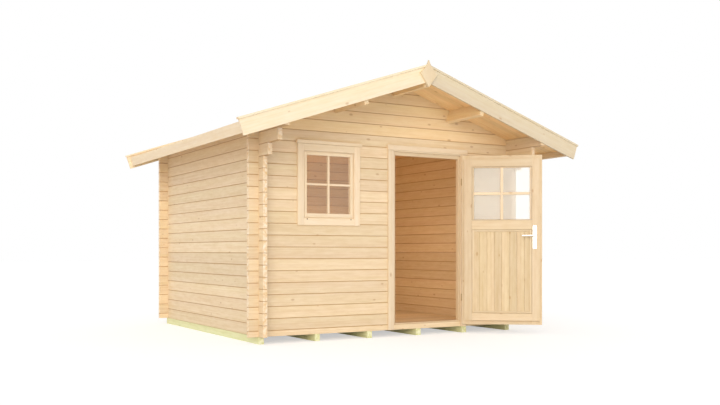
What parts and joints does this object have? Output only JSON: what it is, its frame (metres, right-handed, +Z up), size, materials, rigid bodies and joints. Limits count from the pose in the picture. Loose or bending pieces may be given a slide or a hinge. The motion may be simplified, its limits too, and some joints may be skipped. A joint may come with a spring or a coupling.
{
  "type": "log garden house",
  "caption": "Log-built garden house with notched corners, a low gable roof on purlins, a four-pane window and a part-glazed door that swings outward.",
  "frame": {"origin": "middle of the base, at the ground under the joists", "axes": "+X to the right seen from the door side, +Y from front to back, +Z up"},
  "size_m": [3.9692, 3.6048, 2.7458],
  "materials": {
    "log_pine": "planed softwood logs",
    "inside_pine": "planed floor boards",
    "roof_pine": "planed roof boards",
    "trim_pine": "planed trim boards",
    "joinery_pine": "planed joinery",
    "green_pine": "pressure-treated",
    "glass": "clear float glass",
    "hinge_steel": "dull zinc",
    "handle_steel": "satin white"
  },
  "bodies": {
    "house": {"joist_1": "green_pine", "joist_2": "green_pine", "joist_3": "green_pine", "joist_4": "green_pine", "joist_5": "green_pine", "joist_6": "green_pine", "floor": "inside_pine", "left_wall": "log_pine", "right_wall": "log_pine", "back_wall": "log_pine", "front_sill_log": "log_pine", "front_wall_low": "log_pine", "front_wall_window_left": "log_pine", "front_wall_window_right": "log_pine", "front_wall_right": "log_pine", "front_wall_top": "log_pine", "front_gable": "log_pine", "back_gable": "log_pine", "ridge_purlin": "log_pine", "left_purlin": "log_pine", "right_purlin": "log_pine", "roof_left": "roof_pine", "roof_right": "roof_pine", "front_barges": "trim_pine", "back_barges": "trim_pine", "front_cover_strips": "trim_pine", "back_cover_strips": "trim_pine", "left_fascia": "trim_pine", "right_fascia": "trim_pine", "front_ridge_plate": "trim_pine", "back_ridge_plate": "trim_pine", "window_casing": "trim_pine", "window_frame": "joinery_pine", "window_sash": "joinery_pine", "window_glass": "glass", "door_frame": "joinery_pine", "door_casing": "trim_pine", "frame_hinges": "hinge_steel"},
    "door": {"door_stiles": "joinery_pine", "door_rails": "joinery_pine", "door_panel": "joinery_pine", "door_glass": "glass", "door_hinges": "hinge_steel", "lock_plates": "handle_steel"},
    "handle": {"lever_handle": "handle_steel"}
  },
  "joints": [
    {"name": "door_swing", "type": "hinge", "parent": "house", "child": "door", "pos_m": [0.8415, -1.2065, 0.97], "axis": [0, 0, 1], "range_deg": [-141, 5]},
    {"name": "handle_turn", "type": "hinge", "parent": "door", "child": "handle", "pos_m": [1.42202, -1.71713, 1.05], "axis": [-0.6293, -0.7771, 0], "range_deg": [0, 40], "stiffness_Nm_per_rad": 1.2, "springref_deg": -28.65}
  ]
}
